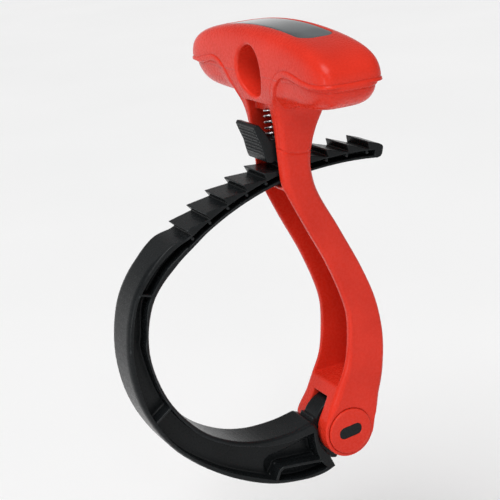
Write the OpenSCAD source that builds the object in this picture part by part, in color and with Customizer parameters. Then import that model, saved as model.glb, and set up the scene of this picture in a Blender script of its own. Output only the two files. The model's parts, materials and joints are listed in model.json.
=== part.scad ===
/* [Hinge and strap] */
// Width of the strap
strap_w = 22.6; // [21:0.2:23]
// Distance between two teeth, as an angle about the hinge
tooth_pitch = 4.6; // [4.2:0.1:4.8]
// Number of teeth along the strap
tooth_count = 10; // [6:1:10]
// Height of a tooth tip over its root
tooth_h = 4; // [3:0.1:4.6]
// Radius of the hinge pin
hinge_pin_r = 3; // [2.5:0.1:3.5]
// Thickness of the strap's eye, between the two ears
eye_w = 13; // [11:0.5:13.5]

/* [Frame arm] */
// Width of the arm across both walls
arm_w = 32.5; // [31:0.5:34]
// Thickness of the arm's side walls and back wall
arm_wall = 3.6; // [3:0.1:4.2]
// Radius of the round ears at the hinge
ear_r = 14.7; // [13.5:0.1:15]
// Distance between the inner faces of the neck's cheeks
neck_gap = 24; // [23.6:0.1:25]

/* [Grip] */
// Length of the grip, end to end
grip_len = 148; // [138:1:156]
// Depth of the grip, front to back
grip_depth = 36; // [34:1:38]
// Radius of the hang hole
hang_r = 12.7; // [11:0.1:13]
// Height of the hang hole's centre above the hinge
hang_z = 198; // [198:1:198]
// Wall thickness of the hollow grip
grip_wall = 3; // [2.4:0.1:3.6]

/* [Release lever] */
// Width of the lever
lever_w = 21; // [19:0.5:22]
// Radius of the lever's pin
lever_pin_r = 1.8; // [1.5:0.1:2]
// Radius of the spring's wire
wire_r = 0.6; // [0.5:0.05:0.7]
// Number of coils of the spring
coils = 4.5; // [4:0.5:5]

/* [Hidden] */
$fn = 96;
e = 0.01;

run_gap = 0.04;      // radial running clearance of a pin in a turning part
seat_gap = 0.02;     // radial clearance of a pin in a fixed part

// Everything is drawn in the plane of the loop around the hinge's axis, X across
// and Z up, and is then moved so that the centre of the hang hole is the origin.
grip_x = -15;
hang_at = [grip_x, 0, hang_z];

// Strap: the toothed stretch is an arc whose centre lies a little beside the hinge.
arc_x = 5.5;
arc_r = 145;
root_h = 5;
first_tooth = -31.7;
tail_angle = 13.3;
undercut = 0.4;
flange_in = 1.4;
recess_h = 2.8;
recess_d = 6;
post_h = 3.2;
toe_r = 16.6;
eye_r = 17;
heel_r = 19;

// Neck: slot for the strap, and the window that houses the lever
slot_floor_r = 141.6;
ceiling_z = 176.5;
apron_z = 182;
slot_top_z = 159;
ear_slot_r = 20;

// Grip
seam_z = 197;
grip_bottom = 183.2;
grip_top = 220;
grip_r = 22;
grip_end_r = 12;
grip_axis_z = 200.2;
crown_r = 280;
pocket_top = 206.5;
saddle_half = [12.6, 18.6];
label_size = [19, 86, 1.4];
label_r = 5;
label_sunk = 0.2;

// Lever and spring
pivot = [-14, 159];
lever_hub_r = 3.2;
housing_x = -10.4;
lever_foot_r = 155.3;
shelf_z = 163.8;
spring_at = [-22.6, 0];
coil_r = 3;
spring_top = ceiling_z + 2;
lever_pin_end = 15;

cap_proud = 0.9;
badge = [13.6, 6.4];

function polar(a, r) = [r * sin(a), r * cos(a)];

// Distance from the hinge to the strap's arc of the given radius, at an angle from +Z
function arc_dist(a, r) = arc_x * sin(a) + sqrt(r * r - pow(arc_x * cos(a), 2));

// A smooth line through a few points (Catmull-Rom), with steps points in each stretch
function smooth_line(p, steps) = [
    for (i = [0 : len(p) - 2]) for (k = [0 : steps - 1])
        let (a = p[max(i - 1, 0)], b = p[i], c = p[i + 1], d = p[min(i + 2, len(p) - 1)], t = k / steps)
        0.5 * (2 * b + (c - a) * t + (2 * a - 5 * b + 4 * c - d) * t * t + (3 * b - a - 3 * c + d) * t * t * t),
    p[len(p) - 1]
];

module in_row_frame() translate(-hang_at) children();

// A flat outline in X and Z, made w thick across Y
module slab(w) rotate([90, 0, 0]) linear_extrude(w, center = true) children();

// A cylinder along Y, from y0 to y1, at the point p of the XZ plane
module rod_y(p, r, y0, y1)
    translate([p[0], y0, p[1]]) rotate([-90, 0, 0]) cylinder(r = r, h = y1 - y0);

// ---------------------------------------------------------------- strap

strap_outer = [[-79, 124.6], [-90, 121.4], [-104.2, 108.8], [-113.4, 91.4], [-116.8, 66], [-111.6, 39],
               [-96.5, 13.5], [-73, -6], [-48, -18.8], [-27, -23], [-15, -22.9], [-7.6, -20.6]];
strap_inner = [[-20.4, 8.4], [-33, 6.2], [-51, 6.8], [-68, 12.3], [-84, 23.6], [-98.5, 44],
               [-105.2, 70], [-100.5, 95], [-86.5, 111.5], [-76, 119.5]];

module strap_outline() {
    teeth = [for (i = [tooth_count - 1 : -1 : 0])
        let (a = first_tooth + i * tooth_pitch)
        for (q = [[a, root_h + tooth_h], [a + undercut, root_h]]) polar(q[0], arc_dist(q[0], arc_r + q[1]))];
    tail = [for (q = [[7.4, -0.9], [6.8, -0.35], [5.8, 0], [2, 0], [0.7, -0.3], [0, -0.9]])
        let (a = tail_angle + q[1]) polar(a, arc_dist(a, arc_r + q[0]))];
    inner_arc = [for (a = [tail_angle - 2 : -1.5 : -29]) polar(a, arc_dist(a, arc_r))];
    difference() {
        polygon(concat([for (i = [len(tail) - 1 : -1 : 0]) tail[i]], teeth,
                       smooth_line(strap_outer, 6), [[-10, -15], [-10, -8], [-16.4, 4.3], [-18, 7.4]],
                       smooth_line(strap_inner, 6),
                       [for (i = [len(inner_arc) - 1 : -1 : 0]) inner_arc[i]]));
        circle(toe_r);
    }
}

// The web's outline: the side recess that both faces of the loop have
module loop_recess() {
    outer = [[-76.8, 124.2], [-83.2, 121.8], [-89.4, 118.4], [-96.6, 112.2], [-103.4, 103.6], [-107.8, 96],
             [-112.4, 82], [-113.8, 66], [-108.9, 40.5], [-94.6, 15.8], [-71.8, -3.2], [-47.4, -15.8],
             [-38, -19.6], [-27, -21.4], [-17, -21], [-12.8, -19.9], [-14.6, -17.6], [-16.7, -13.8],
             [-18.4, -8.4], [-19, -3], [-19.2, 2.4]];
    inner = [[-26, 1.8], [-34, 1.4], [-46, 2.4], [-60, 6.6], [-70, 10.8], [-86, 22.2], [-100.8, 44.6],
             [-107.6, 70], [-106.9, 79.3], [-103.2, 96], [-93.1, 109.7], [-84.2, 116.6], [-75.5, 122.6]];
    polygon(concat(smooth_line(outer, 5), smooth_line(inner, 5)));
}

module arc_band(a0, a1, h0, h1)
    polygon(concat([for (a = [a0 : 1.5 : a1]) polar(a, arc_dist(a, arc_r + h0))],
                   [for (a = [a1 : -1.5 : a0]) polar(a, arc_dist(a, arc_r + h1))]));

module toe_pocket()
    polygon([[-52, -10.5], [-50, -6.9], [-48.3, -3.9], [-45.9, -3], [-37.6, -4.2], [-19.2, -6],
             [-18.1, -10], [-17.2, -12.8], [-32.4, -11.6], [-38.6, -10.9], [-41, -11.5], [-42.4, -14],
             [-44, -17.2], [-50.6, -14.6]]);

module side_recesses(s) {
    for (cut = [0, 1]) {
        depth = cut == 0 ? recess_d : recess_d + 3;
        translate([0, s * (strap_w / 2 - depth / 2 + e), 0]) slab(depth + 2 * e)
            if (cut == 0) {
                difference() {
                    loop_recess();
                    for (q = [[-103, 36, 36], [-104.6, 101, -18]])
                        translate([q[0], q[1]]) rotate(q[2]) square([16, 1.4], center = true);
                    for (q = [[-28, -13.4, -7, 26], [-41.8, -16.2, 70, 9]])
                        translate([q[0], q[1]]) rotate(q[2]) square([q[3], 1.4], center = true);
                }
                arc_band(-32, tail_angle - 0.8, flange_in, flange_in + recess_h);
            } else toe_pocket();
    }
}

module ratchet_strap() {
    color([0.09, 0.095, 0.1]) in_row_frame() difference() {
        union() {
            difference() {
                slab(strap_w) strap_outline();
                for (s = [-1, 1]) side_recesses(s);
            }
            for (i = [0 : tooth_count - 1], s = [-1, 1]) {
                a = first_tooth + i * tooth_pitch;
                y0 = s > 0 ? strap_w / 2 - recess_d - 0.5 : -strap_w / 2 + 0.8;
                rod_y(polar(a, arc_dist(a, arc_r + post_h)), 1, y0,
                      y0 + recess_d - 0.3);
            }
            slab(eye_w) {
                circle(eye_r);
                intersection() {
                    circle(heel_r);
                    polygon([[0, 0], polar(-62, 40), [-40, 6], [-40, -24], [-8, -24], [0, -eye_r]]);
                }
            }
        }
        rod_y([0, 0], hinge_pin_r + run_gap, -strap_w, strap_w);
    }
}

// ---------------------------------------------------------------- frame

arm_back = [[-4, 186], [-2.4, 175], [-6.6, 165], [-8.9, 154], [-9.2, 143], [-6, 131.5],
            [4, 110.5], [14, 89.8], [21.4, 69.8], [24.4, 50], [23.8, 31], [20, 14.5], [13.4, -4]];
arm_front = [[-13.6, 4.5], [-11, 11.6], [-5.2, 23.3], [1.5, 37.5], [4.4, 56], [3.2, 71], [-4.6, 93.5], [-14.5, 114.5],
             [-22, 130.5], [-26.5, 141], [-27, 152], [-27.4, 166], [-28.6, 178.5], [-30.5, 186]];

module arm_outline() {
    polygon(concat(smooth_line(arm_front, 6), smooth_line(arm_back, 6), [[0, 0]]));
    circle(ear_r);
}

// The hollow of the channel, open towards the loop
module channel_outline() {
    floor_line = [[-13.5, 137.6], [-10, 131.5], [0.2, 108.8], [10, 88.2], [17.4, 68.4], [20.6, 50],
                  [20.2, 33], [18.6, 25.4]];
    polygon(concat(smooth_line(floor_line, 5), [[-30, 25.4], [-60, 70], [-60, 137.6]]));
}

// Long rib down the middle of the channel
module rib_outline()
    polygon(concat(smooth_line([[-17.4, 139], [-13.8, 130], [-3.8, 107], [6, 86.4], [13.2, 67.4],
                                [16.4, 50], [16, 33], [14.4, 22]], 5), [[30, 22], [30, 139]]));

// Everything below the grip's crowned top, sunk by depth
module below_crown(depth)
    translate([grip_x - 50, 0, grip_top - crown_r]) rotate([0, 90, 0])
        cylinder(r = crown_r - depth, h = 100, $fn = 360);

// The whole grip as one solid: a body of revolution about its long axis, with three flats and a crown
module grip_form() {
    corner_y = grip_len / 2 - grip_end_r;
    intersection() {
        translate([grip_x, 0, grip_axis_z]) rotate([90, 0, 0]) rotate_extrude() intersection() {
            union() {
                translate([-grip_r, -corner_y]) square([2 * grip_r, 2 * corner_y]);
                square([2 * (grip_r - grip_end_r), grip_len], center = true);
                for (s = [-1, 1]) translate([grip_r - grip_end_r, s * corner_y]) circle(grip_end_r);
            }
            translate([0, -grip_len / 2]) square([grip_r, grip_len]);
        }
        translate([grip_x - grip_depth / 2, -grip_len, grip_bottom])
            cube([grip_depth, 2 * grip_len, 2 * grip_r]);
        below_crown(0);
    }
}

// One hollow of the grip, beside the hang hole
module grip_pocket(side, z0, z1) {
    r = grip_depth / 2 - grip_wall - 2.4;
    far_y = grip_len / 2 - grip_wall - 2.4 - r;
    near_y = 24;
    translate([grip_x, 0, z0]) linear_extrude(z1 - z0) {
        translate([0, side * far_y]) circle(r);
        translate([0, side * (near_y + far_y) / 2]) square([2 * r, far_y - near_y], center = true);
    }
}

// The saddle: the part of the cover that reaches below the seam, around the hang hole
module saddle(gap, depth) {
    low = saddle_half[0] + gap;
    high = saddle_half[1] + gap;
    translate([grip_x, 0, 0]) rotate([90, 0, 90]) linear_extrude(depth, center = true)
        polygon([[-low, apron_z - gap], [low, apron_z - gap], [high, seam_z], [high, seam_z + 5],
                 [-high, seam_z + 5], [-high, seam_z]]);
}

// Fairing between the neck's sides and the underside of the grip
module neck_flare()
    translate([grip_x - 0.5, 0, 0]) rotate([90, 0, 90]) linear_extrude(25, center = true)
        polygon([[-32, 190], [-32, 187], [-22.5, 184], [-18.2, 179.4], [-15.4, 171], [15.4, 171],
                 [18.2, 179.4], [22.5, 184], [32, 187], [32, 190]]);

// Slot for the strap from front to back, the lever's housing above it, and the window in front
module slot_and_window() slab(neck_gap) difference() {
    polygon([[-60, 120], [20, 120], [20, slot_top_z], [housing_x, slot_top_z], [housing_x, ceiling_z],
             [-24, ceiling_z], [-24, apron_z + 0.1], [-60, apron_z + 0.1]]);
    circle(slot_floor_r);
}

// Room between the two ears for the strap's eye
module ear_slot() slab(eye_w + 1) {
    circle(ear_slot_r);
    translate([-40, -30]) square([40, 40]);
}

module frame_body() {
    cover_gap = 0.1;
    color([0.84, 0.13, 0.09]) in_row_frame() difference() {
        union() {
            slab(arm_w) arm_outline();
            neck_flare();
            intersection() {
                grip_form();
                translate([-100, -100, 0]) cube([200, 200, seam_z]);
            }
        }
        for (s = [-1, 1]) grip_pocket(s, grip_bottom + grip_wall, seam_z + 1);
        saddle(cover_gap, 60);
        difference() {
            slab(arm_w - 2 * arm_wall) channel_outline();
            slab(3) rib_outline();
        }
        slot_and_window();
        ear_slot();
        for (s = [-1, 1]) scale([1, s, 1]) rod_y([0, 0], ear_r - 1.9, arm_w / 2 - 0.7, arm_w);
        rod_y([0, 0], hinge_pin_r + seat_gap, -arm_w, arm_w);
        rod_y(pivot, lever_pin_r + seat_gap, -lever_pin_end + 0.2, arm_w);
        translate([spring_at[0], 0, ceiling_z - 1]) cylinder(r = coil_r + wire_r + 0.5, h = 3.2);
    }
}

// ---------------------------------------------------------------- grip cover and label

// Rectangle with round corners
module label_outline(gap) {
    r = label_r + gap;
    square([label_size[0] + 2 * gap, label_size[1] + 2 * gap - 2 * r], center = true);
    square([label_size[0] + 2 * gap - 2 * r, label_size[1] + 2 * gap], center = true);
    for (x = [-1, 1], y = [-1, 1])
        translate([x * (label_size[0] / 2 - label_r), y * (label_size[1] / 2 - label_r)]) circle(r);
}

// A plate that follows the crown, from the depth top down to the label's underside
module label_slab(gap, top) difference() {
    intersection() {
        translate([grip_x, 0, grip_axis_z]) linear_extrude(2 * grip_r) label_outline(gap);
        below_crown(top);
    }
    below_crown(label_sunk + label_size[2]);
}

module grip_cover() {
    seam_gap = 0.1;
    color([0.84, 0.13, 0.09]) in_row_frame() difference() {
        union() {
            intersection() {
                grip_form();
                translate([-100, -100, seam_z + seam_gap]) cube([200, 200, 60]);
            }
            saddle(0, grip_depth);
        }
        for (s = [-1, 1]) grip_pocket(s, seam_z - 1, pocket_top);
        translate([grip_x - 50, 0, hang_z]) rotate([0, 90, 0]) cylinder(r = hang_r, h = 100);
        label_slab(0.1, -5);
    }
}

module label_plate()
    color([0.16, 0.17, 0.18]) in_row_frame() label_slab(0, label_sunk);

// ---------------------------------------------------------------- hinge

module hinge_pin()
    color([0.7, 0.71, 0.72]) in_row_frame() rod_y([0, 0], hinge_pin_r, -arm_w / 2 + 0.8, arm_w / 2 - 0.8);

// A disc let into the ear, which closes the end of the hinge pin's hole
module hinge_cap(s, with_badge)
    color([0.84, 0.13, 0.09]) in_row_frame() scale([1, s, 1]) difference() {
        rod_y([0, 0], ear_r - 2, arm_w / 2 - 0.6, arm_w / 2 + cap_proud);
        if (with_badge) translate([0, arm_w / 2 + cap_proud - 0.5, 0]) slab(1) badge_outline(0.05);
    }

module badge_outline(gap)
    rotate(6) for (x = [-1, 1]) {
        translate([x * (badge[0] - badge[1]) / 2, 0]) circle(badge[1] / 2 + gap);
        square([badge[0] - badge[1], badge[1] + 2 * gap], center = true);
    }

module hinge_cap_front() hinge_cap(-1, true);
module hinge_cap_rear() hinge_cap(1, false);

module badge_inlay()
    color([0.06, 0.06, 0.065]) in_row_frame()
        translate([0, -arm_w / 2 - cap_proud + 0.45, 0]) slab(0.9) badge_outline(0);

// ---------------------------------------------------------------- release lever

module lever_outline() {
    difference() {
        union() {
            polygon([[-37.4, 171.6], [-36.6, 172.9], [-34.6, 172.6], [-31.4, 168.6], [-29, 164.4],
                     [-27.6, shelf_z], [-16.5, shelf_z], [-12, 160.5], [-14, 156.4], [-21, 156.8],
                     [-24.8, 156.4], [-25.7, 152], [-28.2, 152], [-31.9, 154.6], [-32.4, 156.6],
                     [-34.2, 163], [-36.4, 168.6]]);
            translate(pivot) circle(lever_hub_r);
        }
        circle(lever_foot_r);
    }
}

module release_lever() {
    color([0.1, 0.105, 0.11]) in_row_frame() difference() {
        union() {
            slab(lever_w) lever_outline();
            for (k = [0 : 7]) {
                z = 157 + k * 1.9;
                x = -32.3 - pow(max(z - 154, 0), 1.6) * 0.041;
                rod_y([x, z], 0.55, -lever_w / 2 + 1.2, lever_w / 2 - 1.2);
            }
        }
        rod_y(pivot, lever_pin_r + run_gap, -arm_w, arm_w);
    }
}

module lever_pin()
    color([0.7, 0.71, 0.72]) in_row_frame() rod_y(pivot, lever_pin_r, -lever_pin_end + 0.4, arm_w / 2 - 1);

// Compression spring between the lever's shelf and its seat in the frame
module lever_spring() {
    z0 = shelf_z + wire_r + 0.05;
    z1 = spring_top - wire_r + 0.1;
    steps = 16 * coils;
    sides = 8;
    ring = [for (i = [0 : steps]) let (a = 360 * coils * i / steps, z = z0 + (z1 - z0) * i / steps)
        for (k = [0 : sides - 1]) let (b = 360 * k / sides, r = coil_r + wire_r * cos(b))
            [r * cos(a), r * sin(a), z + wire_r * sin(b)]];
    faces = concat(
        [[for (k = [sides - 1 : -1 : 0]) k]],
        [for (i = [0 : steps - 1]) for (k = [0 : sides - 1])
            [i * sides + k, i * sides + (k + 1) % sides, (i + 1) * sides + (k + 1) % sides, (i + 1) * sides + k]],
        [[for (k = [0 : sides - 1]) steps * sides + k]]);
    color([0.75, 0.76, 0.78]) in_row_frame() translate([spring_at[0], 0, 0]) polyhedron(ring, faces);
}

frame_body();
grip_cover();
label_plate();
ratchet_strap();
hinge_pin();
hinge_cap_front();
hinge_cap_rear();
badge_inlay();
release_lever();
lever_pin();
lever_spring();
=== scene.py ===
"""Looks of the ratcheting cable clamp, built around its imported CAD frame.

Each moulding is one smooth field, negative inside the plastic, worked out in millimetres about the hinge.
A mesh follows the field's zero surface and is then scaled to metres and moved to the hinge.
"""

import json
import math

import bpy
import numpy as np
from mathutils import Matrix, Vector


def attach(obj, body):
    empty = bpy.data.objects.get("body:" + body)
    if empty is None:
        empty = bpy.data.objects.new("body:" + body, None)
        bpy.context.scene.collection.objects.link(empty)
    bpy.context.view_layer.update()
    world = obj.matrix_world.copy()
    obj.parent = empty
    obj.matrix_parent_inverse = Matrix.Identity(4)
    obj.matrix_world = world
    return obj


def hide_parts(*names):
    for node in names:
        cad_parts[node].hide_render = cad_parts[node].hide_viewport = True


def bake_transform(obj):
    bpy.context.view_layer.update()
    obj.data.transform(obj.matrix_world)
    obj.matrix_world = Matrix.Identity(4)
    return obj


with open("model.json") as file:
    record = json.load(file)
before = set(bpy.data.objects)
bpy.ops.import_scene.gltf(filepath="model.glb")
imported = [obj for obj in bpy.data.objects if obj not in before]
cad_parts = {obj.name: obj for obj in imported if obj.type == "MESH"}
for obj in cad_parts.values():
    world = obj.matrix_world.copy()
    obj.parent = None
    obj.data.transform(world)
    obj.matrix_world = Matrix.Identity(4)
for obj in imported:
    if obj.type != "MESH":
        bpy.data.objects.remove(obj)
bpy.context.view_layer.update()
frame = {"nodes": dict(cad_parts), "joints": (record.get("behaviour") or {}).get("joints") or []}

JOINTS = {joint["name"]: Vector(joint["pos_m"]) for joint in frame["joints"]}
HINGE = JOINTS["strap_hinge"]
MM = 0.001
GRID = 0.5

# ---------------------------------------------------------------- sizes, in millimetres about the hinge

# Places that the frame gives: the lever's pivot, the hang hole and the grip's middle.
PIVOT = tuple((JOINTS["release_lever"] - HINGE).xz / MM)
HOLE_Z = -HINGE.z / MM
GRIP_X = -HINGE.x / MM

# The arm, its hollow, the ears and the neck's slot. The slot's floor is an arc about the hinge.
ARM_HALF = 16.25
ARM_INNER = 12.65
ARM_RIB_HALF = 1.5
NECK_INNER = 12.0
SLOT_FLOOR_R = 141.6
EAR_R = 14.7
EAR_INNER = 7.0
EAR_SLOT_R = 20
HOLE_R = 12.7
HOLE_EDGE_R = 1.9
SEAM_Z = 197.0

# Pins, with a gap where they are pressed in and a wider one where a part turns on them.
PIN_R = 3.0
LEVER_PIN_R = 1.8
LEVER_PIN_END = 14.8
SEAT_GAP = 0.02
RUN_GAP = 0.04

# The strap: its teeth stand on an arc, and angles along it are in degrees from +Z about the hinge.
STRAP_HALF = 11.3
ARC_X = 5.5
ARC_R = 145.0
ROOT = 5.0
TOOTH = 4.0
FIRST_TOOTH = -31.7
TOOTH_PITCH = 4.6
TOOTH_COUNT = 10
UNDERCUT = 0.4
TAIL_ANGLE = 13.3
TAIL_LIFT = 1.3
TOE_R = 16.6
EYE_R = 17.0
HEEL_R = 19.0
EYE_HALF = 6.5
POST_H = 3.2
POST_R = 0.85
CROSS_RIB_HALF = 0.6
TOE_RIB_HALF = 0.75
RECESS_DEPTH = 7.5
POCKET_DEPTH = RECESS_DEPTH + 2

# The T-grip's half sizes along X, Y and Z above and below the seam, and how square each half is.
GRIP_TOP = (18.2, 73.3, 22.8)
GRIP_TOP_POWERS = (6.0, 10.0, 2.9)
GRIP_UNDER = (17.8, 73.4, 15.0)
GRIP_UNDER_POWERS = (4.0, 6.5, 2.4)
CROWN_DROP = 0.28
CROWN_Y = 60
COVER_TUCK = 3
BEAD_HALF = 1.6
CREASE_GAP = 0.15
APRON_Z = 182.2

# The label: half sizes, corner, the height it starts from, its depths under the surface and its gap.
LABEL_HALF = (9.5, 43)
LABEL_CORNER = 6.5
LABEL_LOW_Z = 205
LABEL_SUNK = 0.25
LABEL_UNDERSIDE = 1.25
LABEL_GAP = 0.15

# Hinge caps and badge. Heights are outwards from the ear's face.
CAP_R = 12.6
CAP_SEAT_R = EAR_R - 1.9
CAP_PROUD = 0.9
CAP_SUNK = 0.6
BADGE_HALF = (6.8, 3.2)
BADGE_TURN = math.radians(6)
BADGE_FLOOR = 0.4
BADGE_TOP = 0.85

# The lever's foot ends on an arc about the hinge, just clear of the tooth tips.
LEVER_HALF = 10.5
LEVER_HUB_R = 3.2
LEVER_FOOT_R = 155.3
RIDGE_HALF = 0.5
RIDGE_PITCH = 1.9
SPRING_X = -22.6

# Half-width of the arm and the neck, and the radius of their long edges, each by height.
NECK_WIDTH = ([0, 152, 162, 172, 180, 186, 191, 196.2, 199.8, 204],
              [ARM_HALF, 16.6, 16.9, 17.8, 19.2, 21.2, 24, 28.4, 34, 34])
ARM_EDGE = ([6, 16, 34, 50, 118, 148, 176, 186], [0.8, 3.4, 3.0, 1.7, 1.7, 4.4, 3.6, 1.5])


# ---------------------------------------------------------------- fields

def rounded_and(a, b, r):
    """What is inside both fields, with its outer edge rounded to radius r."""
    return np.minimum(np.maximum(a, b), -r) + np.hypot(np.maximum(a + r, 0), np.maximum(b + r, 0))


def rounded_or(a, b, r):
    """What is inside either field, with its inner corner filled to radius r."""
    return -rounded_and(-a, -b, r)


def cut(a, b, r):
    """Field a with field b taken away, and the new edge rounded to radius r."""
    return rounded_and(a, -b, r)


def smooth_step(value, low, high):
    """Nought below low, one above high, and an even S between."""
    t = np.clip((value - low) / (high - low), 0, 1)
    return t * t * (3 - 2 * t)


def smooth_line(points, steps=6):
    """Points along a Catmull-Rom curve through the given ones."""
    p = np.array(points, float)
    p = np.vstack([p[:1], p, p[-1:]])
    t = (np.arange(steps) / steps)[:, None]
    parts = []
    for a, b, c, d in zip(p, p[1:], p[2:], p[3:]):
        parts.append(0.5 * (2 * b + (c - a) * t + (2 * a - 5 * b + 4 * c - d) * t ** 2
                            + (3 * b - a - 3 * c + d) * t ** 3))
    return np.vstack(parts + [p[-1:]]).tolist()


class Outline:
    """Signed distance to a closed outline in one plane, negative inside."""

    def __init__(self, points):
        self.start = np.array(points, np.float32)
        self.end = np.roll(self.start, -1, axis=0)

    def __call__(self, u, v):
        u, v = np.broadcast_arrays(np.asarray(u, np.float32), np.asarray(v, np.float32))
        near = np.full(u.shape, 1e9, np.float32)
        inside = np.zeros(u.shape, bool)
        for (au, av), (bu, bv) in zip(self.start, self.end):
            eu, ev = bu - au, bv - av
            pu, pv = u - au, v - av
            t = np.clip((pu * eu + pv * ev) / max(eu * eu + ev * ev, 1e-12), 0, 1)
            near = np.minimum(near, (pu - t * eu) ** 2 + (pv - t * ev) ** 2)
            crossed = (av > v) != (bv > v)
            if av != bv:
                inside ^= crossed & (u < au + (v - av) * eu / ev)
        return np.sqrt(near) * np.where(inside, -1, 1).astype(np.float32)


def disc(u, v, centre, r):
    """Signed distance to a circle."""
    return np.hypot(u - centre[0], v - centre[1]) - r


def rounded_box(u, v, half_u, half_v, r):
    """Signed distance to a rectangle about the origin with corners of radius r."""
    du, dv = np.abs(u) - half_u + r, np.abs(v) - half_v + r
    return np.hypot(np.maximum(du, 0), np.maximum(dv, 0)) + np.minimum(np.maximum(du, dv), 0) - r


# ---------------------------------------------------------------- field to mesh

def steps_between(stops, spacings):
    """Grid lines from the first stop to the last, with each stretch at about its own spacing."""
    lines = [stops[0]]
    for low, high, spacing in zip(stops, stops[1:], spacings):
        count = max(1, round((high - low) / (spacing * GRID)))
        lines.extend(low + (high - low) * (i + 1) / count for i in range(count))
    return np.array(lines, np.float32)


def mirrored_steps(stops, spacings):
    """The same grid lines on both sides of zero."""
    half = steps_between(stops, spacings)
    return np.concatenate([-half[:0:-1], half])


def field_at(field, points):
    """The field's value at each of a list of points."""
    return np.asarray(field(points[:, 0], points[:, 1], points[:, 2]), np.float32)


def settle_on_surface(field, points):
    """Moves each point onto the field's zero surface."""
    delta = 0.04
    reach = 0.6 * GRID
    value = field_at(field, points)
    slope = np.empty_like(points)
    for axis in range(3):
        moved = points.copy()
        moved[:, axis] += delta
        slope[:, axis] = (field_at(field, moved) - value) / delta
    size = np.maximum((slope ** 2).sum(1), 0.05)
    for _ in range(2):
        step = np.clip(value / size, -reach, reach)
        points = points - step[:, None] * slope
        value = field_at(field, points)
    return points


def surface_net(values, axes):
    """Vertices and outward quads of the zero surface of a field sampled on a grid."""
    inside = values < 0
    corners = [(i, j, k) for i in (0, 1) for j in (0, 1) for k in (0, 1)]
    shape = np.array(values.shape)
    count = np.zeros(shape - 1, np.int8)
    for i, j, k in corners:
        count += inside[i:shape[0] - 1 + i, j:shape[1] - 1 + j, k:shape[2] - 1 + k]
    mixed = (count > 0) & (count < 8)
    number = np.full(mixed.shape, -1, np.int32)
    number[mixed] = np.arange(mixed.sum())
    where = np.argwhere(mixed)

    def place(index):
        return np.stack([axes[n][index[:, n]] for n in range(3)], axis=1)

    total = np.zeros((len(where), 3))
    hits = np.zeros(len(where))
    for axis in range(3):
        along = np.eye(3, dtype=int)[axis]
        for corner in (c for c in corners if c[axis] == 0):
            low = where + corner
            high = low + along
            a, b = values[tuple(low.T)], values[tuple(high.T)]
            crossed = (a < 0) != (b < 0)
            share = np.where(crossed, a / np.where(crossed, a - b, 1), 0)[:, None]
            at = place(low) * (1 - share) + place(high) * share
            total += at * crossed[:, None]
            hits += crossed
    quads = []
    for axis in range(3):
        u, v = (axis + 1) % 3, (axis + 2) % 3
        low = inside.take(range(shape[axis] - 1), axis)
        high = inside.take(range(1, shape[axis]), axis)
        edge = np.argwhere(low != high)
        within = (edge[:, u] > 0) & (edge[:, u] < shape[u] - 1)
        within &= (edge[:, v] > 0) & (edge[:, v] < shape[v] - 1)
        edge = edge[within]
        ring = []
        for du, dv in ((1, 1), (0, 1), (0, 0), (1, 0)):
            cell = edge.copy()
            cell[:, u] -= du
            cell[:, v] -= dv
            ring.append(number[tuple(cell.T)])
        ring = np.stack(ring, axis=1)
        outward = low[tuple(edge.T)]
        quads.append(np.where(outward[:, None], ring, ring[:, ::-1]))
    return total / hits[:, None], np.vstack(quads)


def make_mesh(name, vertices, faces, material):
    """A smooth piece from vertices in millimetres about the hinge."""
    mesh = bpy.data.meshes.new(name)
    mesh.from_pydata((np.asarray(vertices) * MM + np.array(HINGE)).tolist(), [], faces)
    mesh.polygons.foreach_set("use_smooth", [True] * len(mesh.polygons))
    mesh.materials.append(material)
    mesh.update()
    piece = bpy.data.objects.new(name, mesh)
    bpy.context.scene.collection.objects.link(piece)
    return piece


def moulding(name, field, axes, material, body, node):
    """A piece that follows a field's surface, stands for a CAD node and rides on its body."""
    x, y, z = np.meshgrid(*axes, indexing="ij", sparse=True)
    shape = tuple(len(a) for a in axes)
    values = np.broadcast_to(np.asarray(field(x, y, z), np.float32), shape)
    vertices, quads = surface_net(values, axes)
    vertices = settle_on_surface(field, vertices)
    piece = make_mesh(name, vertices, quads.tolist(), material)
    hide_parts(node)
    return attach(piece, body)


# ---------------------------------------------------------------- strap

def arc_point(angle, height):
    """A point at a height above the strap's inner arc, at an angle from +Z about the hinge."""
    a = math.radians(angle)
    r = ARC_R + height + TAIL_LIFT * max(0.0, angle / TAIL_ANGLE) ** 1.5
    distance = ARC_X * math.sin(a) + math.sqrt(r * r - (ARC_X * math.cos(a)) ** 2)
    return [distance * math.sin(a), distance * math.cos(a)]


def tooth_angle(i):
    """The angle of one tooth's tip, counted from the loop's side."""
    return FIRST_TOOTH + i * TOOTH_PITCH


def strap_outline():
    """The strap's side view: the tail, the teeth, the outer line, the toe and the inner line."""
    outer = [[-79, 124.6], [-90, 121.4], [-104.2, 108.8], [-113.4, 91.4], [-116.8, 66], [-111.6, 39],
             [-96.5, 13.5], [-73, -6], [-48, -18.8], [-27, -23], [-15, -22.9], [-7.6, -20.6]]
    inner = [[-20.4, 8.4], [-33, 6.2], [-51, 6.8], [-68, 12.3], [-84, 23.6], [-98.5, 44],
             [-105.2, 70], [-100.5, 95], [-86.5, 111.5], [-76, 119.5]]
    tail = [(0, -0.9), (0.7, -0.3), (2, 0), (5.8, 0), (6.8, -0.35), (7.4, -0.9)]
    points = [arc_point(TAIL_ANGLE + turn, height) for height, turn in tail]
    for i in reversed(range(TOOTH_COUNT)):
        points.append(arc_point(tooth_angle(i), ROOT + TOOTH))
        points.append(arc_point(tooth_angle(i) + UNDERCUT, ROOT))
    points += smooth_line(outer) + [[-10, -15], [-10, -8], [-16.4, 4.3], [-18, 7.4]] + smooth_line(inner)
    return points + [arc_point(a, 0) for a in np.arange(-29, TAIL_ANGLE - 1.5, 1.5)]


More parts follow.
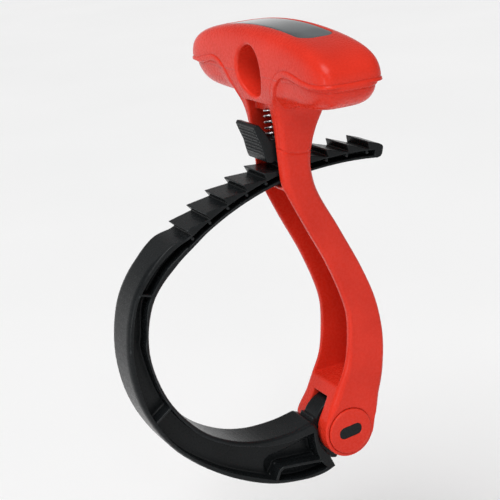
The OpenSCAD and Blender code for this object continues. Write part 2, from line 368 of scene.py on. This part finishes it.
def loop_recess_outline():
    """The recess that both faces of the loop have, from the teeth round to the toe."""
    outer = [[-76.8, 124.2], [-83.2, 121.8], [-89.4, 118.4], [-96.9, 112.6], [-104.6, 103.8], [-109.2, 96],
             [-112.8, 82], [-114, 66], [-109.5, 40.1], [-95.1, 15.4], [-72.1, -3.7], [-47.6, -16.3],
             [-38, -19.6], [-27, -21.4], [-17, -21], [-12.8, -19.9], [-14.6, -17.6], [-16.7, -13.8],
             [-18.4, -8.4], [-19, -3], [-19.2, 2.4]]
    inner = [[-26, 1.8], [-34, 1.4], [-46, 2.4], [-60, 6.6], [-70, 10.8], [-86, 22.2], [-100.8, 44.6],
             [-107.1, 70], [-106.3, 79.3], [-103.2, 96], [-93.1, 109.7], [-84.2, 116.6], [-75.5, 122.6]]
    return smooth_line(outer, 5) + smooth_line(inner, 5)


def band_outline(low, high, start, end):
    """The stretch between two heights above the strap's inner arc."""
    angles = np.arange(start, end, 1.5)
    return [arc_point(a, low) for a in angles] + [arc_point(a, high) for a in angles[::-1]]


def bar(x, z, start, end, half_width):
    """Signed distance to a straight bar in the plane of the loop."""
    u, v = end[0] - start[0], end[1] - start[1]
    t = np.clip(((x - start[0]) * u + (z - start[1]) * v) / (u * u + v * v), 0, 1)
    return np.hypot(x - start[0] - t * u, z - start[1] - t * v) - half_width


STRAP = Outline(strap_outline())
LOOP_RECESS = Outline(loop_recess_outline())
TOOTH_RECESS = Outline(band_outline(1.3, 4.2, -33.5, TAIL_ANGLE - 0.6))
TOE_POCKET = Outline([[-44.4, -17], [-46.2, -14.5], [-46.8, -11], [-45.6, -8], [-43, -6.8], [-34.7, -6],
                      [-19.2, -2.8], [-18.1, -10], [-17.2, -12.8], [-32.4, -11.6], [-38.6, -10.9],
                      [-41, -11.5], [-42.4, -14]])
HEEL = Outline([[0, 0], [-35.3, 18.8], [-40, 6], [-40, -24], [-8, -24], [0, -12]])
CROSS_RIBS = (((-110, 31), (-96, 41)), ((-110.4, 102.8), (-99, 99.2)))
LOOP_CENTRE = (-48, 66)
LOOP_MIDDLE_R = 63
TOE_RIB = ((-43.6, -19), (-41.4, -13.6), (-38.8, -12.1), (-33, -12.7), (-14, -15.1))


def strap_field(x, y, z):
    """The strap: a rounded band with recessed faces and ribs, and the eye that turns on the pin."""
    side = np.abs(y)
    angle = np.degrees(np.arctan2(x, z))
    toothed = smooth_step(angle, -42, -35) * (z > 60)
    toe = smooth_step(-z, -10, 8)
    # The long edges are rounded least along the teeth, more at the toe and most round the loop.
    edge = 1.9 - 1.45 * toothed
    edge = edge * (1 - toe) + 0.9 * toe
    # Scaling down the distance from the face rounds the loop's outer edges further over the face.
    outside = smooth_step(disc(x, z, LOOP_CENTRE, LOOP_MIDDLE_R), -1, 2) * (1 - toothed) * (1 - toe)
    body = rounded_and(STRAP(x, z), (side - STRAP_HALF) * (1 - 0.5 * outside), edge)
    body = cut(body, disc(x, z, (0, 0), TOE_R), 0.5)

    hollow = rounded_or(LOOP_RECESS(x, z), TOOTH_RECESS(x, z), 0.4)
    for start, end in CROSS_RIBS:
        hollow = cut(hollow, bar(x, z, start, end, CROSS_RIB_HALF), 0.3)
    for start, end in zip(TOE_RIB, TOE_RIB[1:]):
        hollow = np.maximum(hollow, -bar(x, z, start, end, TOE_RIB_HALF))
    for i in range(TOOTH_COUNT):
        hollow = np.maximum(hollow, -disc(x, z, arc_point(tooth_angle(i), POST_H + 0.1), POST_R))
    body = cut(body, rounded_and(hollow, STRAP_HALF - RECESS_DEPTH - side, 0.6), 0.35)
    body = cut(body, rounded_and(TOE_POCKET(x, z), STRAP_HALF - POCKET_DEPTH - side, 0.5), 0.6)

    eye = np.minimum(disc(x, z, (0, 0), EYE_R), np.maximum(disc(x, z, (0, 0), HEEL_R), HEEL(x, z)))
    body = rounded_or(body, rounded_and(eye, side - EYE_HALF, 0.5), 0.3)
    return cut(body, disc(x, z, (0, 0), PIN_R + RUN_GAP), 0.3)


# ---------------------------------------------------------------- frame and grip

ARM_FRONT = [[-13.6, 4.5], [-11, 11.6], [-5.2, 23.3], [1.5, 37.5], [4.4, 56], [3.2, 71], [-4.6, 93.5],
             [-14.5, 114.5], [-22, 130.5], [-26.3, 141], [-27.2, 152], [-27.6, 166], [-28.8, 178.5],
             [-31.2, 187], [-32.5, 193], [-32.7, 198], [-30, 204]]
ARM_BACK = [[-2, 204], [1.5, 197], [1.2, 188], [-1.6, 176], [-5.6, 167], [-8.4, 156], [-9, 145],
            [-6.2, 132.5], [4.5, 110.5], [14.5, 89.8], [21.9, 69.8], [24.9, 50], [24.3, 31], [20.2, 14.5],
            [13.4, -4]]
CHANNEL_FLOOR = [[-13.5, 137.6], [-10, 131.5], [0.2, 108.8], [10, 88.2], [17.4, 68.4], [20.6, 50],
                 [20.2, 33], [18.6, 25.4]]
RIB_FRONT = [[-17.4, 139], [-13.8, 130], [-3.8, 107], [6, 86.4], [13.2, 67.4], [16.4, 50], [16, 33],
             [14.4, 22]]
ARM = Outline(smooth_line(ARM_FRONT) + smooth_line(ARM_BACK) + [[0, 0]])
CHANNEL = Outline(smooth_line(CHANNEL_FLOOR) + [[-30, 25.4], [-60, 70], [-60, 137.6]])
RIB = Outline(smooth_line(RIB_FRONT) + [[30, 22], [30, 139]])
SLOT = Outline([[-60, 120], [20, 120], [20, 159], [-10.4, 159], [-10.4, 176.5], [-24, 176.5], [-24, 182.1],
                [-60, 182.1]])
# The raised bead that the cover ends in, as half-width and height: along the grip, over the finger
# scoop and down the neck's front corner.
BEAD = [[90, 196.6], [62, 197.2], [50, 199.2], [41, 200.8], [34, 199.8], [28, 196.2], [23.6, 191],
        [20.6, 186], [18.6, 180], [17.2, 172], [16.4, 160]]
ABOVE_BEAD = Outline(smooth_line(BEAD) + [[16, 120], [-40, 120], [-40, 260], [90, 260]])


def bulge(offsets, half_sizes, powers):
    """Distance to a superellipsoid, near enough. A higher power makes it squarer along that axis."""
    root = 3
    total = 1e-6
    steep = 0.0
    for offset, half, power in zip(offsets, half_sizes, powers):
        share = np.abs(offset) / half
        total = total + share ** power
        steep = steep + (power * share ** (power - 1) / half) ** 2
    size = total ** (1 / root)
    return (size - 1) / np.maximum(np.sqrt(steep) * size / total / root, 0.02)


def grip_field(x, y, z):
    """The T-grip: a crowned, boxy top half and a rounder, slightly smaller half below the seam."""
    offsets = (x - GRIP_X, y, z - SEAM_Z)
    crown = np.maximum(1 - CROWN_DROP * (y / CROWN_Y) ** 2, 0.2)
    top = bulge(offsets, (*GRIP_TOP[:2], GRIP_TOP[2] * crown), GRIP_TOP_POWERS)
    under = bulge(offsets, GRIP_UNDER, GRIP_UNDER_POWERS)
    return np.where(z > SEAM_Z, top, under)


def bead_profile(below):
    """How far the surface stands out at a distance below the bead's middle line."""
    bead = 0.4 * np.sqrt(np.clip(1 - (below / BEAD_HALF) ** 2, 0, 1))
    creases = 0.35 * (1 - smooth_step(np.abs(np.abs(below) - BEAD_HALF - CREASE_GAP), 0, 0.55))
    scoop = 0.6 * smooth_step(below, BEAD_HALF, BEAD_HALF + 0.3) + 0.6 * smooth_step(below, 2, 8)
    return bead - creases - scoop


def neck_groove(x, side, z):
    """One along the fine groove across the neck's sides, and nought away from it."""
    low_x, low_z, curve, from_side = -13, 156, 0.018, 13
    across = 1 - smooth_step(np.abs(z - low_z - curve * (x - low_x) ** 2), 0.15, 0.8)
    return across * (side > from_side)


def red_body(x, y, z):
    """Both red mouldings together, before they are parted and hollowed."""
    side = np.abs(y)
    side_view = rounded_or(ARM(x, z), disc(x, z, (0, 0), EAR_R), 2)
    half_width = np.interp(z, *NECK_WIDTH)
    arm = rounded_and(side_view, 0.85 * (side - half_width), np.interp(z, *ARM_EDGE))
    fairing = 0.4 + 7 * (1 - smooth_step(np.abs(x - GRIP_X), 8, 16))
    body = rounded_or(arm, grip_field(x, y, z), fairing)
    bead = bead_profile(ABOVE_BEAD(side, z)) * smooth_step(z, 150, 172)
    return body - bead + 0.35 * neck_groove(x, side, z)


def label_area(x, y, z, gap):
    """Where the label lies: its outline seen from above, on the grip's top."""
    outline = rounded_box(x - GRIP_X, y, LABEL_HALF[0] + gap, LABEL_HALF[1] + gap, LABEL_CORNER + gap)
    return np.maximum(outline, LABEL_LOW_Z - z)


def red_shell(x, y, z):
    """Both red mouldings with the label's pocket and the hang hole."""
    body = red_body(x, y, z)
    pocket = np.maximum(label_area(x, y, z, LABEL_GAP), -LABEL_UNDERSIDE - 0.05 - body)
    body = cut(body, pocket, 0.4)
    return cut(body, disc(y, z, (0, HOLE_Z), HOLE_R), HOLE_EDGE_R)


def seam(x, y, z):
    """Negative in the cover's part of the grip: above the bead's lower crease and above the window."""
    return rounded_and(ABOVE_BEAD(np.abs(y), z) - BEAD_HALF - CREASE_GAP, APRON_Z - z, 1.0)


def cover_field(x, y, z):
    """The grip's upper moulding, with the saddle round the hang hole."""
    return rounded_and(red_shell(x, y, z), seam(x, y, z), 0.3)


def frame_field(x, y, z):
    """The arm, the neck and the grip's lower moulding, which reaches a little way under the cover."""
    side = np.abs(y)
    parted = seam(x, y, z)
    tucked = red_shell(x, y, z) + 0.2 * smooth_step(-parted, -0.2, 0.2)
    body = np.maximum(tucked, -COVER_TUCK - parted)
    channel = cut(rounded_and(CHANNEL(x, z), side - ARM_INNER, 1.0),
                  rounded_and(RIB(x, z), side - ARM_RIB_HALF, 0.4), 0.6)
    body = cut(body, channel, 0.7)
    slot = np.maximum(SLOT(x, z), SLOT_FLOOR_R - np.hypot(x, z))
    body = cut(body, rounded_and(slot, side - NECK_INNER, 0.8), 0.7)
    ear_gap = np.minimum(disc(x, z, (0, 0), EAR_SLOT_R), rounded_box(x + 20, z + 10, 20, 20, 1))
    body = cut(body, rounded_and(ear_gap, side - EAR_INNER, 0.6), 0.5)
    cap_seat = np.maximum(disc(x, z, (0, 0), CAP_SEAT_R), ARM_HALF - CAP_SUNK - 0.1 - side)
    body = cut(body, cap_seat, 0.2)
    body = cut(body, disc(x, z, (0, 0), PIN_R + SEAT_GAP), 0.2)
    lever_pin_hole = np.maximum(disc(x, z, PIVOT, LEVER_PIN_R + SEAT_GAP), -LEVER_PIN_END - y)
    return cut(body, lever_pin_hole, 0.3)


def label_field(x, y, z):
    """The label: a thin plate that follows the grip's crown, a hair below its surface."""
    body = red_body(x, y, z)
    plate = rounded_and(label_area(x, y, z, 0), body + LABEL_SUNK, 0.5)
    return np.maximum(plate, -LABEL_UNDERSIDE - body)


def badge_area(x, z, gap):
    """The badge's pill-shaped outline, turned a little."""
    u = x * math.cos(BADGE_TURN) + z * math.sin(BADGE_TURN)
    v = -x * math.sin(BADGE_TURN) + z * math.cos(BADGE_TURN)
    return rounded_box(u, v, BADGE_HALF[0] + gap, BADGE_HALF[1] + gap, BADGE_HALF[1] - 0.1 + gap)


def cap_field(side):
    """A hinge cap: a disc let into the ear, on the side where y has that sign."""
    def field(x, y, z):
        out = y * side - ARM_HALF
        r = np.hypot(x, z)
        plate = rounded_and(r - CAP_R, np.maximum(out - CAP_PROUD, -CAP_SUNK - out), 0.5)
        if side > 0:
            return plate
        return cut(plate, np.maximum(badge_area(x, z, 0.08), BADGE_FLOOR - out), 0.15)
    return field


def badge_field(x, y, z):
    """The plain dark inlay in the front cap, just below the cap's face."""
    out = -y - ARM_HALF
    return rounded_and(badge_area(x, z, 0), np.maximum(out - BADGE_TOP, BADGE_FLOOR + SEAT_GAP - out), 0.2)


# ---------------------------------------------------------------- lever and spring

LEVER = Outline([[-37.4, 171.6], [-36.6, 172.9], [-34.6, 172.6], [-31.4, 168.6], [-29, 164.4],
                 [-27.6, 163.8], [-16.5, 163.8], [-12, 160.5], [-14, 156.4], [-21, 156.8], [-24.8, 156.4],
                 [-25.7, 152], [-28.2, 152], [-31.8, 153.3], [-32.6, 155.4], [-34.2, 163], [-36.4, 168.6]])


def lever_field(x, y, z):
    """The thumb lever, with ridges across the front of its pad and a foot that follows the tooth tips."""
    side = np.abs(y)
    flat = np.minimum(LEVER(x, z), disc(x, z, PIVOT, LEVER_HUB_R))
    flat = np.maximum(flat, LEVER_FOOT_R - np.hypot(x, z))
    on_pad = smooth_step(z, 156.5, 157.5) * (1 - smooth_step(z, 170, 171))
    on_pad = on_pad * (1 - smooth_step(side, 8.8, 9.4))
    front = smooth_step(-x - 0.25 * (z - 156), 29.5, 30.5)
    ridge = RIDGE_HALF * np.maximum(np.cos(2 * np.pi * (z - 157) / RIDGE_PITCH), -0.3) * on_pad * front
    body = rounded_and(flat, side - LEVER_HALF, 0.8) - ridge
    return cut(body, disc(x, z, PIVOT, LEVER_PIN_R + RUN_GAP), 0.2)


def spring_mesh():
    """Vertices and faces of the coil spring, with a closed turn at each end."""
    low, high, wire, coil = 164.45, 178.0, 0.6, 3.0
    turns, dead = 5.0, 0.75
    steps, sides = 28, 12
    count = int(turns * steps)
    turn = np.linspace(0, turns, count)
    dead_rise = 2 * wire + 0.1
    rise = np.interp(turn, [0, dead, turns - dead, turns],
                     [low, low + dead_rise, high - dead_rise, high])
    angle = 2 * np.pi * turn
    centre = np.stack([SPRING_X + coil * np.cos(angle), coil * np.sin(angle), rise], axis=1)
    out = np.stack([np.cos(angle), np.sin(angle), 0 * angle], axis=1)
    along = np.gradient(centre, axis=0)
    along /= np.linalg.norm(along, axis=1)[:, None]
    up = np.cross(along, out)
    vertices = []
    for k in range(sides):
        a = 2 * math.pi * k / sides
        vertices.append(centre + wire * (math.cos(a) * out + math.sin(a) * up))
    vertices = np.stack(vertices, axis=1).reshape(-1, 3)
    faces = []
    for i in range(count - 1):
        for k in range(sides):
            n = (k + 1) % sides
            faces.append((i * sides + k, (i + 1) * sides + k, (i + 1) * sides + n, i * sides + n))
    faces.append(tuple(range(sides)))
    faces.append(tuple((count - 1) * sides + k for k in reversed(range(sides))))
    return vertices, faces, low, high


# ---------------------------------------------------------------- materials

def new_material(name):
    """A new material, its node tree and its shader."""
    material = bpy.data.materials.new(name)
    material.use_nodes = True
    tree = material.node_tree
    return material, tree, tree.nodes["Principled BSDF"]


def node(tree, kind, **values):
    """A new node, with some of its inputs or settings given by name."""
    made = tree.nodes.new(kind)
    for key, value in values.items():
        if key in made.inputs:
            made.inputs[key].default_value = value
        else:
            setattr(made, key, value)
    return made


def noise(tree, scale, detail=2.0, roughness=0.5):
    """Noise in object space, at a scale given as features per metre."""
    place = node(tree, "ShaderNodeTexCoord")
    made = node(tree, "ShaderNodeTexNoise", Scale=scale, Detail=detail, Roughness=roughness)
    tree.links.new(place.outputs["Object"], made.inputs["Vector"])
    return made.outputs["Fac"]


def ranged(tree, value, low, high, start=0.3, end=0.7):
    """A value mapped so that start becomes low and end becomes high."""
    made = node(tree, "ShaderNodeMapRange")
    for key, number in (("From Min", start), ("From Max", end), ("To Min", low), ("To Max", high)):
        made.inputs[key].default_value = number
    tree.links.new(value, made.inputs["Value"])
    return made.outputs["Result"]


def mixed_colour(tree, factor, first, second):
    """A mix of two colours, each a tuple or another node's output."""
    made = node(tree, "ShaderNodeMix", data_type="RGBA")
    tree.links.new(factor, made.inputs[0])
    for socket, colour in ((made.inputs[6], first), (made.inputs[7], second)):
        if isinstance(colour, tuple):
            socket.default_value = (*colour, 1)
        else:
            tree.links.new(colour, socket)
    return made.outputs[2]


def plastic(name, dark, light, edge_highlight_colour, roughness, shine, grain, grain_depth, edge_highlight_strength):
    """Moulded plastic: a fine spark-eroded grain, faint flow marks, and a painted highlight that lightens
    sharp convex edges.
    """
    material, tree, shader = new_material(name)
    flow = ranged(tree, noise(tree, 45, 3.0), 0, 1)
    colour = mixed_colour(tree, flow, dark, light)
    # Painted highlight: sharp convex edges are mixed towards a lighter colour, broken up by noise.
    edges = node(tree, "ShaderNodeNewGeometry").outputs["Pointiness"]
    painted_edge_highlight = ranged(tree, edges, 0, edge_highlight_strength, start=0.52, end=0.58)
    patchy_edge_highlight = node(tree, "ShaderNodeMath", operation="MULTIPLY")
    tree.links.new(painted_edge_highlight, patchy_edge_highlight.inputs[0])
    tree.links.new(ranged(tree, noise(tree, 420, 4.0), 0.15, 1), patchy_edge_highlight.inputs[1])
    colour = mixed_colour(tree, patchy_edge_highlight.outputs[0], colour, edge_highlight_colour)
    tree.links.new(colour, shader.inputs["Base Color"])
    tree.links.new(ranged(tree, noise(tree, 700, 3.0), roughness - 0.05, roughness + 0.06),
                   shader.inputs["Roughness"])
    bump = node(tree, "ShaderNodeBump", Strength=grain_depth, Distance=0.0001)
    tree.links.new(noise(tree, grain, 2.0, 0.6), bump.inputs["Height"])
    tree.links.new(bump.outputs["Normal"], shader.inputs["Normal"])
    shader.inputs["Specular IOR Level"].default_value = shine
    return material


def metal(name, tint, roughness):
    """Bright drawn steel with fine scratches."""
    material, tree, shader = new_material(name)
    shader.inputs["Metallic"].default_value = 1
    tone = ranged(tree, noise(tree, 900, 4.0), 0, 1)
    darker = tuple(channel * 0.86 for channel in tint)
    tree.links.new(mixed_colour(tree, tone, darker, tint), shader.inputs["Base Color"])
    tree.links.new(ranged(tree, noise(tree, 2500, 3.0), roughness - 0.06, roughness + 0.08),
                   shader.inputs["Roughness"])
    bump = node(tree, "ShaderNodeBump", Strength=0.2, Distance=0.00005)
    tree.links.new(noise(tree, 4000, 2.0), bump.inputs["Height"])
    tree.links.new(bump.outputs["Normal"], shader.inputs["Normal"])
    return material


def label_material():
    """A dark plate under a clear gloss, with a faint mottle beneath."""
    material, tree, shader = new_material("label_gloss")
    tone = ranged(tree, noise(tree, 60, 4.0), 0, 1, start=0.35, end=0.65)
    tree.links.new(mixed_colour(tree, tone, (0.035, 0.045, 0.05), (0.085, 0.105, 0.115)),
                   shader.inputs["Base Color"])
    tree.links.new(ranged(tree, noise(tree, 900, 3.0), 0.14, 0.22), shader.inputs["Roughness"])
    shader.inputs["Coat Weight"].default_value = 0.6
    shader.inputs["Coat Roughness"].default_value = 0.08
    bump = node(tree, "ShaderNodeBump", Strength=0.06, Distance=0.0002)
    tree.links.new(noise(tree, 120, 2.0), bump.inputs["Height"])
    tree.links.new(bump.outputs["Normal"], shader.inputs["Normal"])
    return material


# The lighter edge colours and their strengths paint highlights along the sharp convex edges.
RED = plastic("red_plastic", dark=(0.60, 0.026, 0.012), light=(0.68, 0.033, 0.016),
              edge_highlight_colour=(0.78, 0.10, 0.06), roughness=0.27, shine=0.18,
              grain=3600, grain_depth=0.035, edge_highlight_strength=0.3)
BLACK = plastic("black_plastic", dark=(0.0055, 0.0065, 0.007), light=(0.009, 0.0105, 0.0115),
                edge_highlight_colour=(0.045, 0.05, 0.053), roughness=0.29, shine=0.15,
                grain=4200, grain_depth=0.12, edge_highlight_strength=0.6)
STEEL = metal("steel", (0.72, 0.73, 0.75), 0.26)
LABEL = label_material()

# ---------------------------------------------------------------- camera, first of what is made

CAMERA_FROM_HINGE = Vector((-0.3153, -0.5823, 0.3094))
AZIMUTH, ELEVATION, ROLL = (math.radians(a) for a in (25.22, 17.43, -5.57))
SENSOR = 36.0
FOCAL = 95.3

camera_data = bpy.data.cameras.new("camera")
camera_data.sensor_width = SENSOR
camera_data.lens = FOCAL
camera = bpy.data.objects.new("camera", camera_data)
bpy.context.scene.collection.objects.link(camera)
back = Vector((-math.sin(AZIMUTH) * math.cos(ELEVATION), -math.cos(AZIMUTH) * math.cos(ELEVATION),
               math.sin(ELEVATION)))
level = Vector((math.cos(AZIMUTH), -math.sin(AZIMUTH), 0))
above = back.cross(level)
right = level * math.cos(ROLL) + above * math.sin(ROLL)
up = above * math.cos(ROLL) - level * math.sin(ROLL)
camera.matrix_world = (Matrix.Translation(HINGE + CAMERA_FROM_HINGE)
                       @ Matrix((right, up, back)).transposed().to_4x4())
bpy.context.scene.camera = camera

# ---------------------------------------------------------------- pieces

# Grid lines along X, Y and Z for each piece, closer together where its surface turns more.
frame_axes = [steps_between([-35, 26], [1]),
              mirrored_steps([0, 1.2, 1.9, 5.8, 7.6, 11.4, 17.4, 45, 76],
                             [1.2, 0.8, 2.6, 1, 2.2, 0.8, 0.9, 1.1]),
              steps_between([-15.6, 152, 205], [1.4, 0.85])]
cover_axes = [steps_between([-35, 5], [0.8]), mirrored_steps([0, 10, 45, 76], [1.2, 0.8, 1.1]),
              steps_between([180.6, 203, 221.5], [0.7, 1])]
label_axes = [steps_between([-26, -4], [1]), mirrored_steps([0, 36, 44], [2.4, 0.8]),
              steps_between([210, 221], [0.7])]
strap_axes = [steps_between([-118.2, 37], [1]),
              mirrored_steps([0, 2, 3.6, 6, 7.1, 8.9, 12], [2, 0.8, 1.2, 0.7, 1.8, 0.75]),
              steps_between([-25, 158.5], [1])]
lever_axes = [steps_between([-38.6, -9.6], [0.7]), mirrored_steps([0, 8.6, 11], [1.6, 0.6]),
              steps_between([151, 174], [0.6])]
cap_line = steps_between([-15.4, 15.4], [0.8])

moulding("frame_shell", frame_field, frame_axes, RED, "frame", "frame_body")
moulding("cover_shell", cover_field, cover_axes, RED, "frame", "grip_cover")
moulding("label_inlay", label_field, label_axes, LABEL, "frame", "label_plate")
moulding("toothed_strap", strap_field, strap_axes, BLACK, "strap", "ratchet_strap")
moulding("thumb_lever", lever_field, lever_axes, BLACK, "lever", "release_lever")
for name, side in (("front", -1), ("rear", 1)):
    near, far = sorted((side * (ARM_HALF - 0.9), side * (ARM_HALF + 1.3)))
    cap_axes = [cap_line, steps_between([near, far], [0.4]), cap_line]
    moulding(f"cap_{name}", cap_field(side), cap_axes, RED, "frame", f"hinge_cap_{name}")
badge_axes = [steps_between([-7.6, 7.6], [0.5]), steps_between([-17.6, -16.2], [0.3]),
              steps_between([-5, 5], [0.5])]
moulding("badge", badge_field, badge_axes, BLACK, "frame", "badge_inlay")

vertices, faces, spring_low, spring_high = spring_mesh()
spring = make_mesh("coil_spring", vertices, faces, STEEL)
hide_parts("lever_spring")
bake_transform(spring)

for name in ("hinge_pin", "lever_pin"):
    pin = frame["nodes"][name]
    pin.data.materials.clear()
    pin.data.materials.append(STEEL)

# ---------------------------------------------------------------- floor and light

FLOOR_SIZE = 12.0
STRAP_SWING = 0.13
SUN_ANGLE = math.radians(40)


def floor():
    """A plain pale floor. The clamp hangs over it by its hole, with room for the strap to swing open."""
    material, tree, shader = new_material("floor")
    tone = ranged(tree, noise(tree, 3, 2.0), 0, 1)
    pale = mixed_colour(tree, tone, (0.96, 0.96, 0.96), (0.98, 0.98, 0.98))
    tree.links.new(pale, shader.inputs["Base Color"])
    shader.inputs["Roughness"].default_value = 0.9
    bpy.ops.mesh.primitive_plane_add(size=FLOOR_SIZE, location=(0, 0, HINGE.z - STRAP_SWING))
    plane = bpy.context.object
    plane.name = "floor"
    plane.data.materials.append(material)


def soft_light(name, place, size, power, target=(0, 0, -0.1)):
    """A soft box of a width and a height in metres and a power in watts, turned towards the target."""
    data = bpy.data.lights.new(name, "AREA")
    data.shape = "RECTANGLE"
    data.size, data.size_y = size
    data.energy = power
    lamp = bpy.data.objects.new(name, data)
    lamp.location = place
    lamp.rotation_mode = "QUATERNION"
    lamp.rotation_quaternion = (Vector(place) - Vector(target)).to_track_quat("Z", "Y")
    bpy.context.scene.collection.objects.link(lamp)


def soft_sun(direction, strength):
    """The large soft light high on the left."""
    data = bpy.data.lights.new("sun", "SUN")
    data.energy = strength
    data.angle = SUN_ANGLE
    lamp = bpy.data.objects.new("sun", data)
    lamp.rotation_mode = "QUATERNION"
    lamp.rotation_quaternion = Vector(direction).to_track_quat("Z", "Y")
    bpy.context.scene.collection.objects.link(lamp)


def studio_world():
    """White walls that fade to a darker ceiling."""
    world = bpy.data.worlds.new("studio")
    world.use_nodes = True
    tree = world.node_tree
    place = node(tree, "ShaderNodeTexCoord")
    split = node(tree, "ShaderNodeSeparateXYZ")
    tree.links.new(place.outputs["Generated"], split.inputs["Vector"])
    shader = tree.nodes["Background"]
    shader.inputs["Color"].default_value = (1, 1, 1, 1)
    fade = ranged(tree, split.outputs["Z"], low=0.8, high=0.24, start=0.02, end=0.35)
    tree.links.new(fade, shader.inputs["Strength"])
    bpy.context.scene.world = world


floor()
soft_sun(direction=(-0.45, -0.4, 1.0), strength=2.4)
soft_light("left", place=(-1.4, -0.6, -0.05), size=(0.12, 0.5), power=3.0)
# Two small boxes for the pair of small highlights on the grip's near front corner.
soft_light("twin_left", place=(-1.37, -0.16, 0.36), size=(0.14, 0.2), power=0.5)
soft_light("twin_right", place=(-0.47, -1.27, 0.57), size=(0.14, 0.2), power=1.1)
studio_world()
bpy.context.scene.view_settings.view_transform = "Standard"
